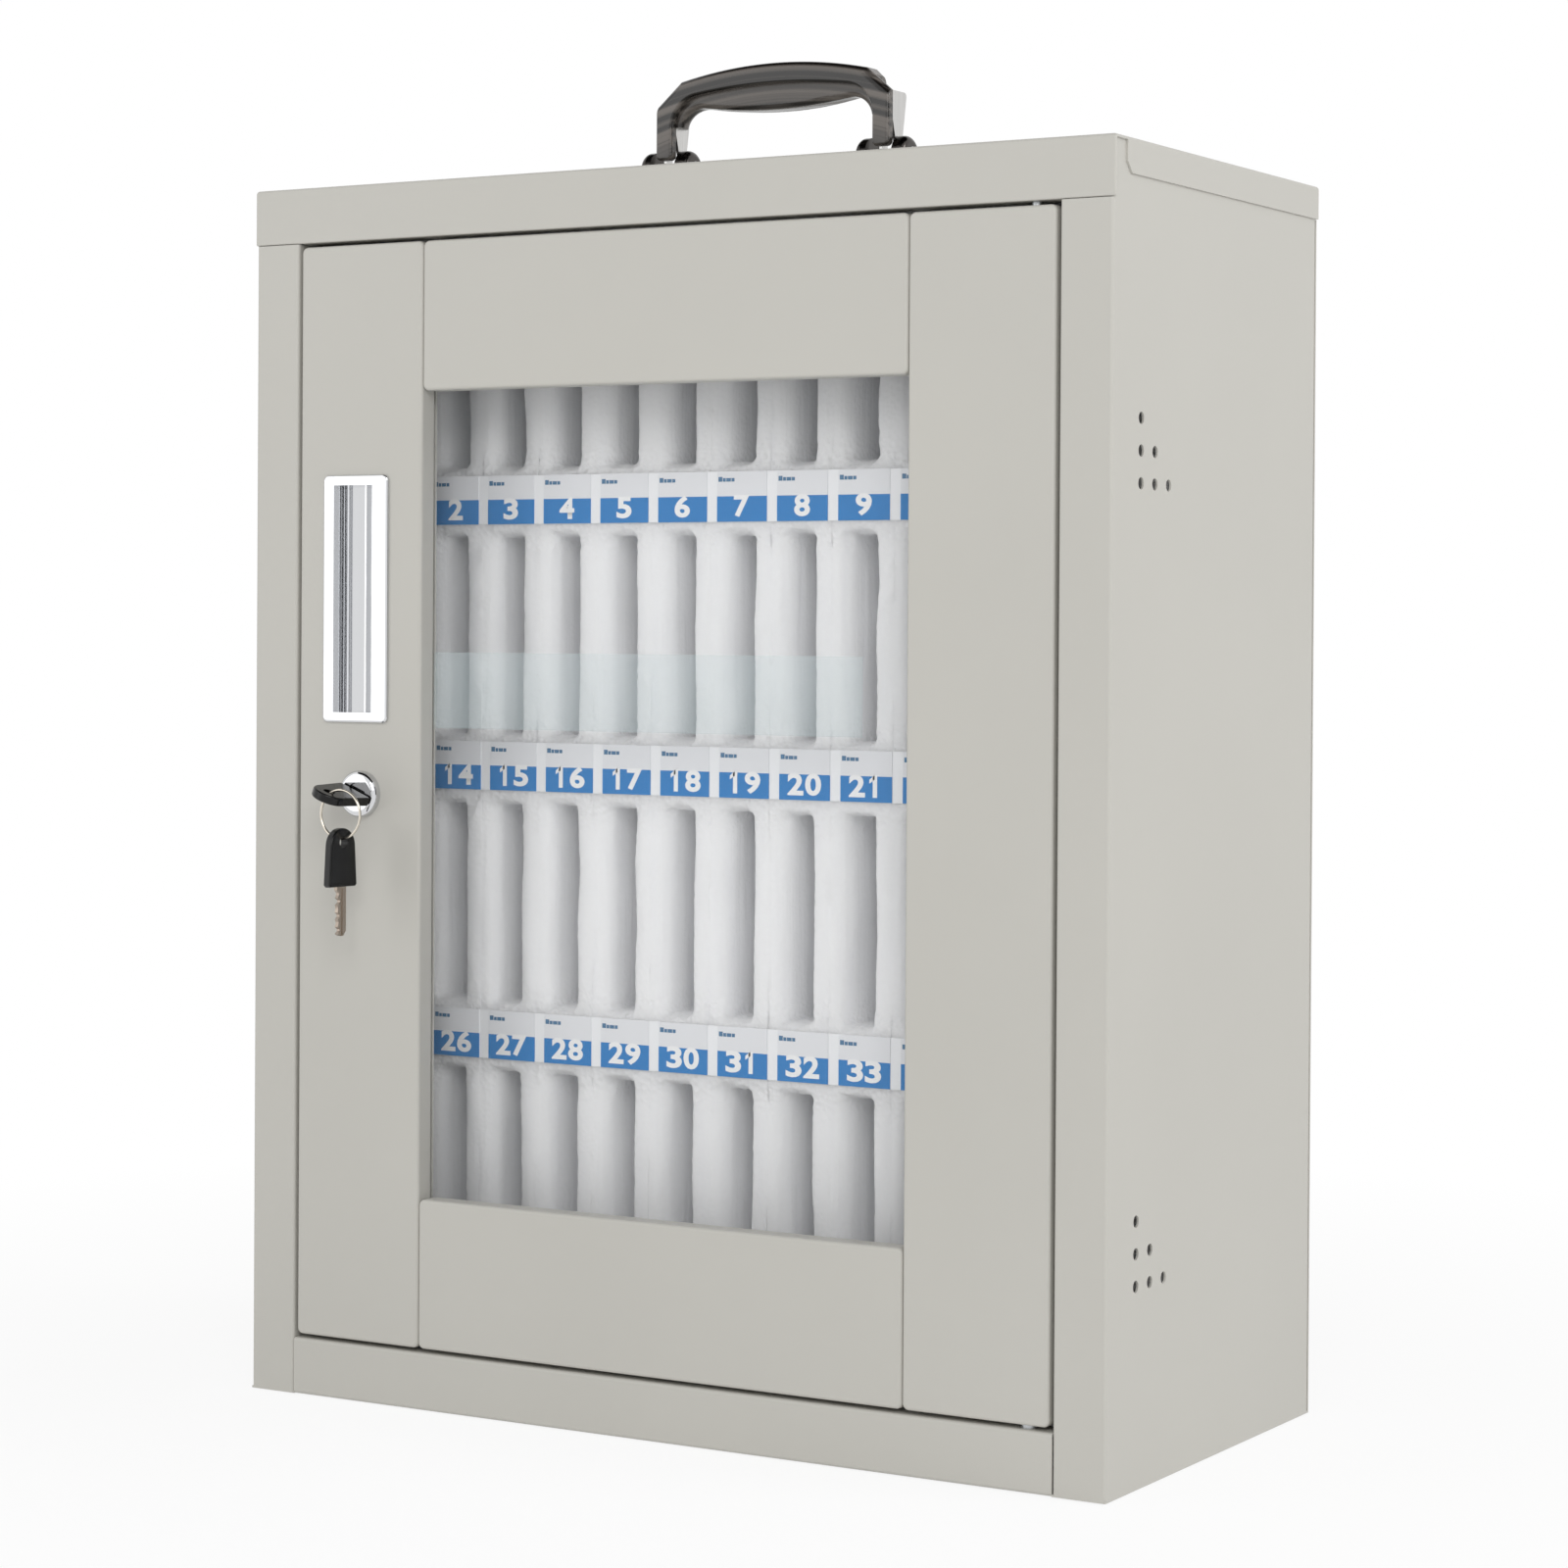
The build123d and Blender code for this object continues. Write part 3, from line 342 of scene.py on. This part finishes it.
shape = bmesh.new()
for i, middle in enumerate(column_x):
    for k, (z0, z1) in enumerate(slot_rows):
        x0, x1 = middle - SLOT_LEFT, middle + SLOT_RIGHT
        loops = []
        # From the tile's edge on the flat face, in over the lip, then down the slot's walls
        outline = slot_ring(tile_x[i], tile_x[i + 1], tile_z[k], tile_z[k + 1], 0.0)
        loops.append([Vector((x, front_y, z)) for x, z in outline])
        for step in range(LIP_STEPS + 1):
            a = math.radians(90 * step / LIP_STEPS)
            out, deep = 1 - math.sin(a), 1 - math.cos(a)
            ring = slot_ring(
                x0 - LIP_LEFT * out, x1 + LIP_RIGHT * out, z0 - LIP_BOTTOM * out,
                z1 + LIP_TOP * out, SLOT_CORNER_R + 0.004 * out)
            loops.append([Vector((x, front_y + LIP_DEEP * deep, z)) for x, z in ring])
        for deep in (0.016, 0.03, 0.06, 0.1, 0.14):
            ring = slot_ring(x0, x1, z0, z1, SLOT_CORNER_R)
            loops.append([Vector((x, front_y + deep, z)) for x, z in ring])
        loops.append([Vector((x, slot_back_y, z)) for x, z in ring])
        rows = []
        for n, loop in enumerate(loops):
            row = []
            for p in loop:
                if 0 < n < len(loops) - 1:
                    end_on = (abs(p.z - (z0 + z1) / 2) - ROUGH_FROM) / (ROUGH_BY - ROUGH_FROM)
                    torn = 0.0003 + 0.0006 * min(max(end_on, 0), 1)
                    p = p + uneven(p, 0.03, 0.0009, 0.0) + uneven(p, 0.0034, torn, 7.0)
                    p.y = max(p.y, front_y + 0.0001)
                    p.x = min(max(p.x, tile_x[i] + TILE_EDGE), tile_x[i + 1] - TILE_EDGE)
                row.append(shape.verts.new(p))
            rows.append(row)
        for outer_row, inner_row in zip(rows, rows[1:]):
            for n in range(len(outer_row)):
                m = (n + 1) % len(outer_row)
                shape.faces.new([outer_row[n], outer_row[m], inner_row[m], inner_row[n]])
        shape.faces.new(list(reversed(rows[-1])))
bmesh.ops.remove_doubles(shape, verts=shape.verts, dist=0.000001)
rim = [edge for edge in shape.edges if edge.is_boundary]
skirt = bmesh.ops.extrude_edge_only(shape, edges=rim)["geom"]
for vert in [v for v in skirt if isinstance(v, bmesh.types.BMVert)]:
    vert.co.y = high.y
bmesh.ops.holes_fill(shape, edges=[edge for edge in shape.edges if edge.is_boundary], sides=0)
bmesh.ops.recalc_face_normals(shape, faces=shape.faces)
mesh = bpy.data.meshes.new("foam_insert")
shape.to_mesh(mesh)
shape.free()
foam = bpy.data.objects.new("foam_insert", mesh)
bpy.context.scene.collection.objects.link(foam)

epe = new_material("white_polyethylene_foam")
place = add(epe, "ShaderNodeTexCoord")
bead = add(epe, "ShaderNodeTexVoronoi", settings={"feature": "SMOOTH_F1"}, inputs={
    "Vector": (place, "Object"), "Scale": 1000 / BEAD_MM, "Smoothness": 0.4})
# Nought at the middle of every row of slots, and one by its ends, where the skin is torn
apart = add(epe, "ShaderNodeSeparateXYZ", inputs={"Vector": (place, "Object")})
from_middle = add(epe, "ShaderNodeMath", settings={"operation": "SUBTRACT"})
epe.node_tree.links.new(apart.outputs["Z"], from_middle.inputs[0])
from_middle.inputs[1].default_value = sum(slot_rows[0]) / 2
to_row = add(epe, "ShaderNodeMath", settings={"operation": "PINGPONG"})
epe.node_tree.links.new(from_middle.outputs["Value"], to_row.inputs[0])
to_row.inputs[1].default_value = FOAM_PITCH_Z / 2
torn_skin = add(epe, "ShaderNodeMapRange", inputs={
    "Value": (to_row, "Value"), "From Min": ROUGH_FROM, "From Max": ROUGH_BY,
    "To Min": 0.25, "To Max": 1.0})
beads = add(epe, "ShaderNodeMath", settings={"operation": "MULTIPLY"})
epe.node_tree.links.new(bead.outputs["Distance"], beads.inputs[0])
epe.node_tree.links.new(torn_skin.outputs["Result"], beads.inputs[1])
drawn_down = add(epe, "ShaderNodeMapping", inputs={
    "Vector": (place, "Object"), "Scale": (1.0, 1.0, 0.06)})
# Vertical drag lines: a real relief in the bump, and also painted highlight streaks in the colour
# below.
drag_and_painted_streaks = add(epe, "ShaderNodeTexNoise", inputs={
    "Vector": (drawn_down, "Vector"), "Scale": 1000 / DRAG_AND_STREAK_MM, "Detail": 2.0})
relief = add(epe, "ShaderNodeMath", settings={"operation": "ADD"})
epe.node_tree.links.new(beads.outputs["Value"], relief.inputs[0])
epe.node_tree.links.new(drag_and_painted_streaks.outputs["Fac"], relief.inputs[1])
bump = add(epe, "ShaderNodeBump", inputs={
    "Height": (relief, "Value"), "Strength": 0.7, "Distance": 0.0012})
# Painted highlight: the foam's colour is a little lighter along the vertical streaks.
tone = add(epe, "ShaderNodeValToRGB", inputs={"Fac": (drag_and_painted_streaks, "Fac")})
tone.color_ramp.elements[0].color = srgb("#f1f1f4")
tone.color_ramp.elements[1].color = srgb("#fafafb")
skin = add(epe, "ShaderNodeBsdfPrincipled", inputs={
    "Base Color": (tone, "Color"), "Roughness": 0.5, "Normal": (bump, "Normal"),
    "Subsurface Weight": 0.75, "Subsurface Scale": 0.02,
    "Subsurface Radius": (1.0, 1.0, 1.0)})
add(epe, "ShaderNodeOutputMaterial", inputs={"Surface": (skin, "BSDF")})
mesh.materials.append(epe)
for polygon in mesh.polygons:
    polygon.use_smooth = True
mesh.set_sharp_from_angle(angle=math.radians(60))
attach(foam, "cabinet")
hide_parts("foam_back", *[f"foam_layer_{n}" for n in range(1, 6)],
            *[f"foam_dividers_row_{n}" for n in range(1, 5)])


# ---- Number labels ----
# A white card strip is glued under each row of slots. On it are twelve printed labels: a pale
# field with a short blue rule to write on, over a blue band that holds the slot's number in
# bold white.
LABEL_W, LABEL_H = 0.0277, 0.0241
BAND_H = 0.0122
strip_card = new_material("white_card")
place = add(strip_card, "ShaderNodeTexCoord")
fibre = add(strip_card, "ShaderNodeTexNoise", inputs={
    "Vector": (place, "Object"), "Scale": 500.0, "Detail": 3.0})
bump = add(strip_card, "ShaderNodeBump", inputs={
    "Height": (fibre, "Fac"), "Strength": 0.1, "Distance": 0.0002})
skin = add(strip_card, "ShaderNodeBsdfPrincipled", inputs={
    "Base Color": srgb("#f2f3f5"), "Roughness": 0.5, "Normal": (bump, "Normal")})
add(strip_card, "ShaderNodeOutputMaterial", inputs={"Surface": (skin, "BSDF")})
dress(strip_card, *[f"label_strip_row_{n}" for n in range(1, 5)])

print_card = new_material("printed_label_card")
place = add(print_card, "ShaderNodeTexCoord")
height = add(print_card, "ShaderNodeSeparateXYZ", inputs={"Vector": (place, "Generated")})
above_band = add(print_card, "ShaderNodeMath", settings={"operation": "GREATER_THAN"})
print_card.node_tree.links.new(height.outputs["Z"], above_band.inputs[0])
above_band.inputs[1].default_value = BAND_H / LABEL_H
ink = add(print_card, "ShaderNodeMix", settings={"data_type": "RGBA"})
print_card.node_tree.links.new(above_band.outputs["Value"], ink.inputs["Factor"])
ink.inputs["A"].default_value = srgb("#1f7cc2")
ink.inputs["B"].default_value = srgb("#e8e9ec")
fibre = add(print_card, "ShaderNodeTexNoise", inputs={
    "Vector": (place, "Object"), "Scale": 500.0, "Detail": 3.0})
bump = add(print_card, "ShaderNodeBump", inputs={
    "Height": (fibre, "Fac"), "Strength": 0.1, "Distance": 0.0002})
skin = add(print_card, "ShaderNodeBsdfPrincipled", inputs={
    "Roughness": 0.55, "Specular IOR Level": 0.3, "Normal": (bump, "Normal")})
print_card.node_tree.links.new(ink.outputs["Result"], skin.inputs["Base Color"])
add(print_card, "ShaderNodeOutputMaterial", inputs={"Surface": (skin, "BSDF")})
dress(print_card, *[f"label_cards_row_{n}" for n in range(1, 5)])

def printer_ink(name, thin, full):
    """Screen printed ink, a little thinner where the card's fibres stand up."""
    material = new_material(name)
    spot = add(material, "ShaderNodeTexCoord")
    cover = add(material, "ShaderNodeTexNoise", inputs={
        "Vector": (spot, "Object"), "Scale": 900.0, "Detail": 2.0})
    shade = add(material, "ShaderNodeValToRGB", inputs={"Fac": (cover, "Fac")})
    shade.color_ramp.elements[0].color = srgb(thin)
    shade.color_ramp.elements[1].color = srgb(full)
    dry = add(material, "ShaderNodeMapRange", inputs={
        "Value": (cover, "Fac"), "To Min": 0.4, "To Max": 0.5})
    print_skin = add(material, "ShaderNodeBsdfPrincipled", inputs={
        "Base Color": (shade, "Color"), "Roughness": (dry, "Result")})
    add(material, "ShaderNodeOutputMaterial", inputs={"Surface": (print_skin, "BSDF")})
    return material


white_ink = printer_ink("white_print", "#efeff0", "#fafafa")
blue_ink = printer_ink("blue_print", "#45759a", "#366a92")

DIGIT_W, DIGIT_H, DIGIT_STEP = 0.0088, 0.0106, 0.0097
FLAG_OF_ONE = ((-0.0002, 1.0), (-0.0002, 0.80), (-0.0030, 0.62), (-0.0030, 0.80))
INK_T = 0.00008
DIGIT_UP, RULE_UP = 0.0022, 0.0192
glyphs = {}
for figure in "0123456789":
    text = bpy.data.curves.new("figure", "FONT")
    text.body = figure
    text.size = 1.0
    text.offset = 0.035
    text.align_x = "CENTER"
    text.resolution_u = 4
    text_object = bpy.data.objects.new("figure", text)
    bpy.context.scene.collection.objects.link(text_object)
    bpy.context.view_layer.update()
    outline = bpy.data.meshes.new_from_object(text_object)
    bpy.data.objects.remove(text_object)
    xs = [v.co.x for v in outline.vertices]
    ys = [v.co.y for v in outline.vertices]
    wide = (max(xs) - min(xs)) / DIGIT_W if figure != "1" else 1 / DIGIT_H * (max(ys) - min(ys))
    for vert in outline.vertices:
        x = (vert.co.x - (max(xs) + min(xs)) / 2) / wide
        y = (vert.co.y - min(ys)) / (max(ys) - min(ys)) * DIGIT_H
        vert.co = (x, 0, y)
    glyphs[figure] = outline

for row in range(1, 5):
    card_low, card_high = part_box(f"label_cards_row_{row}")
    ink_y = card_low.y - INK_T
    digits = bmesh.new()
    rules = bmesh.new()
    for column in range(FOAM_COLUMNS):
        card_x = card_low.x + column * FOAM_PITCH_X
        number = str((row - 1) * FOAM_COLUMNS + column + 1)
        for place_in, figure in enumerate(number):
            middle = card_x + LABEL_W / 2 + (place_in - (len(number) - 1) / 2) * DIGIT_STEP
            printed = glyphs[figure].copy()
            printed.transform(Matrix.Translation((middle, ink_y, card_low.z + DIGIT_UP)))
            digits.from_mesh(printed)
            bpy.data.meshes.remove(printed)
            if figure == "1":
                digits.faces.new([digits.verts.new(
                    (middle + x, ink_y, card_low.z + DIGIT_UP + y * DIGIT_H)) for x, y in FLAG_OF_ONE])
        at = card_x + 0.0008
        for width, height in ((0.0022, 0.0023), (0.0016, 0.0017), (0.0026, 0.0017), (0.0017, 0.0017)):
            corners = ((at, 0), (at + width, 0), (at + width, height), (at, height))
            rules.faces.new([rules.verts.new((x, ink_y, card_low.z + RULE_UP + z)) for x, z in corners])
            at += width + 0.0003
    for name, form, material in (
            (f"slot_numbers_row_{row}", digits, white_ink), (f"name_rules_row_{row}", rules, blue_ink)):
        mesh = bpy.data.meshes.new(name)
        form.to_mesh(mesh)
        form.free()
        mesh.materials.append(material)
        piece = bpy.data.objects.new(name, mesh)
        bpy.context.scene.collection.objects.link(piece)
        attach(piece, "cabinet")


# ---- Window ----
# A 3 mm clear acrylic sheet, cast and edge cut. It is nearly invisible from the front, with a
# faint cool cast, and a pale blue film is stuck across it.
acrylic = new_material("clear_acrylic")
skin = add(acrylic, "ShaderNodeBsdfPrincipled", inputs={
    "Base Color": srgb("#dfe6ea"), "Roughness": 0.04, "IOR": 1.49, "Alpha": 0.03})
add(acrylic, "ShaderNodeOutputMaterial", inputs={"Surface": (skin, "BSDF")})
dress(acrylic, "window_pane")
film = new_material("pale_vinyl_film")
place = add(film, "ShaderNodeTexCoord")
mottle = add(film, "ShaderNodeTexNoise", inputs={
    "Vector": (place, "Object"), "Scale": 120.0, "Detail": 2.0})
tint = add(film, "ShaderNodeValToRGB", inputs={"Fac": (mottle, "Fac")})
tint.color_ramp.elements[0].color = srgb("#c8e0e4")
tint.color_ramp.elements[1].color = srgb("#dceef1")
skin = add(film, "ShaderNodeBsdfPrincipled", inputs={
    "Base Color": (tint, "Color"), "Roughness": 0.25, "Alpha": 0.15})
add(film, "ShaderNodeOutputMaterial", inputs={"Surface": (skin, "BSDF")})
dress(film, "window_film")


# ---- Studio ----
# A plain pale floor and a white surround. One broad soft lamp stands at the right front, high
# enough to shade the top of the window, and a weaker one at the left front fills.
SURROUND = 0.55
NEAR_GLOW, CLEAR_R, WHITE_R = 0.86, 0.35, 0.9
floor_paper = new_material("studio_paper")
rays = add(floor_paper, "ShaderNodeLightPath")
matt = add(floor_paper, "ShaderNodeBsdfDiffuse", inputs={"Color": srgb("#fafafa")})
glow = add(floor_paper, "ShaderNodeEmission", inputs={"Color": (1, 1, 1, 1), "Strength": 1.0})
place = add(floor_paper, "ShaderNodeTexCoord")
away = add(floor_paper, "ShaderNodeVectorMath", settings={"operation": "LENGTH"}, inputs={
    "Vector": (place, "Object")})
whiter = add(floor_paper, "ShaderNodeMapRange", inputs={
    "Value": (away, "Value"), "From Min": CLEAR_R, "From Max": WHITE_R, "To Min": NEAR_GLOW,
    "To Max": 1.0})


def seen_by_eye_or_mirror(tree, light_path):
    """One where the ray is from the camera or from metal or glass, and nought elsewhere."""
    first = tree.nodes.new("ShaderNodeMath")
    second = tree.nodes.new("ShaderNodeMath")
    for node in (first, second):
        node.operation = "MAXIMUM"
    tree.links.new(light_path.outputs["Is Camera Ray"], first.inputs[0])
    tree.links.new(light_path.outputs["Is Glossy Ray"], first.inputs[1])
    tree.links.new(first.outputs["Value"], second.inputs[0])
    tree.links.new(light_path.outputs["Is Transmission Ray"], second.inputs[1])
    return second.outputs["Value"]


paper = floor_paper.node_tree
share = add(floor_paper, "ShaderNodeMath", settings={"operation": "MULTIPLY"})
paper.links.new(seen_by_eye_or_mirror(paper, rays), share.inputs[0])
paper.links.new(whiter.outputs["Result"], share.inputs[1])
mixed = add(floor_paper, "ShaderNodeMixShader", inputs={"Fac": (share, "Value")})
paper.links.new(matt.outputs["BSDF"], mixed.inputs[1])
paper.links.new(glow.outputs["Emission"], mixed.inputs[2])
add(floor_paper, "ShaderNodeOutputMaterial", inputs={"Surface": (mixed, "Shader")})
bpy.ops.mesh.primitive_plane_add(size=30, location=(0, 0, -0.0005))
floor = bpy.context.object
floor.name = "floor"
floor.data.materials.append(floor_paper)

world = bpy.data.worlds.new("studio")
world.use_nodes = True
bpy.context.scene.world = world
sky = world.node_tree
sky.nodes.clear()
ray = sky.nodes.new("ShaderNodeLightPath")
seen_white = sky.nodes.new("ShaderNodeBackground")
seen_white.inputs["Color"].default_value = (1, 1, 1, 1)
seen_white.inputs["Strength"].default_value = 1.0
light = sky.nodes.new("ShaderNodeBackground")
light.inputs["Color"].default_value = (1, 1, 1, 1)
light.inputs["Strength"].default_value = SURROUND
choose = sky.nodes.new("ShaderNodeMixShader")
out = sky.nodes.new("ShaderNodeOutputWorld")
sky.links.new(seen_by_eye_or_mirror(sky, ray), choose.inputs[0])
sky.links.new(light.outputs[0], choose.inputs[1])
sky.links.new(seen_white.outputs[0], choose.inputs[2])
sky.links.new(choose.outputs[0], out.inputs["Surface"])


def lamp(name, place, aim, size, watts):
    data = bpy.data.lights.new(name, "AREA")
    data.shape = "RECTANGLE"
    data.size, data.size_y = size
    data.energy = watts
    made = bpy.data.objects.new(name, data)
    made.location = place
    made.rotation_euler = (Vector(aim) - Vector(place)).to_track_quat("-Z", "Y").to_euler()
    bpy.context.scene.collection.objects.link(made)


lamp("lamp_key", (1.35, -2.25, 1.6), (0, 0, 0.3), (1.3, 1.3), 23)
lamp("lamp_fill", (-1.6, -2.0, 1.0), (0, 0, 0.3), (1.4, 2.1), 8)
lamp("lamp_side", (2.4, 0.5, 1.5), (0.24, 0, 0.35), (1.0, 1.0), 16.5)


def flag(name, centre, aim, size):
    """A black cloth flag that only metal and gloss see. It gives chrome its dark edges."""
    width, height = size
    mesh = bpy.data.meshes.new(name)
    mesh.from_pydata([(x * width / 2, y * height / 2, 0)
                      for x, y in ((-1, -1), (1, -1), (1, 1), (-1, 1))], [], [(0, 1, 2, 3)])
    mesh.materials.append(black_cloth)
    made = bpy.data.objects.new(name, mesh)
    made.location = centre
    made.rotation_euler = (Vector(aim) - Vector(centre)).to_track_quat("-Z", "Y").to_euler()
    made.visible_camera = made.visible_diffuse = made.visible_shadow = False
    made.visible_transmission = made.visible_volume_scatter = False
    bpy.context.scene.collection.objects.link(made)


black_cloth = new_material("black_flag_cloth")
place = add(black_cloth, "ShaderNodeTexCoord")
nap = add(black_cloth, "ShaderNodeTexNoise", inputs={
    "Vector": (place, "Object"), "Scale": 40.0, "Detail": 2.0})
tone = add(black_cloth, "ShaderNodeValToRGB", inputs={"Fac": (nap, "Fac")})
tone.color_ramp.elements[0].color = srgb("#161616")
tone.color_ramp.elements[1].color = srgb("#2a2a2a")
skin = add(black_cloth, "ShaderNodeBsdfDiffuse", inputs={"Color": (tone, "Color")})
add(black_cloth, "ShaderNodeOutputMaterial", inputs={"Surface": (skin, "BSDF")})
flag("flag_above", (0, 0, 2.7), (0, 0, 0), (3.6, 3.6))
flag("flag_right", (2.7, -0.35, 0.7), (0, 0, 0.4), (0.9, 2.4))
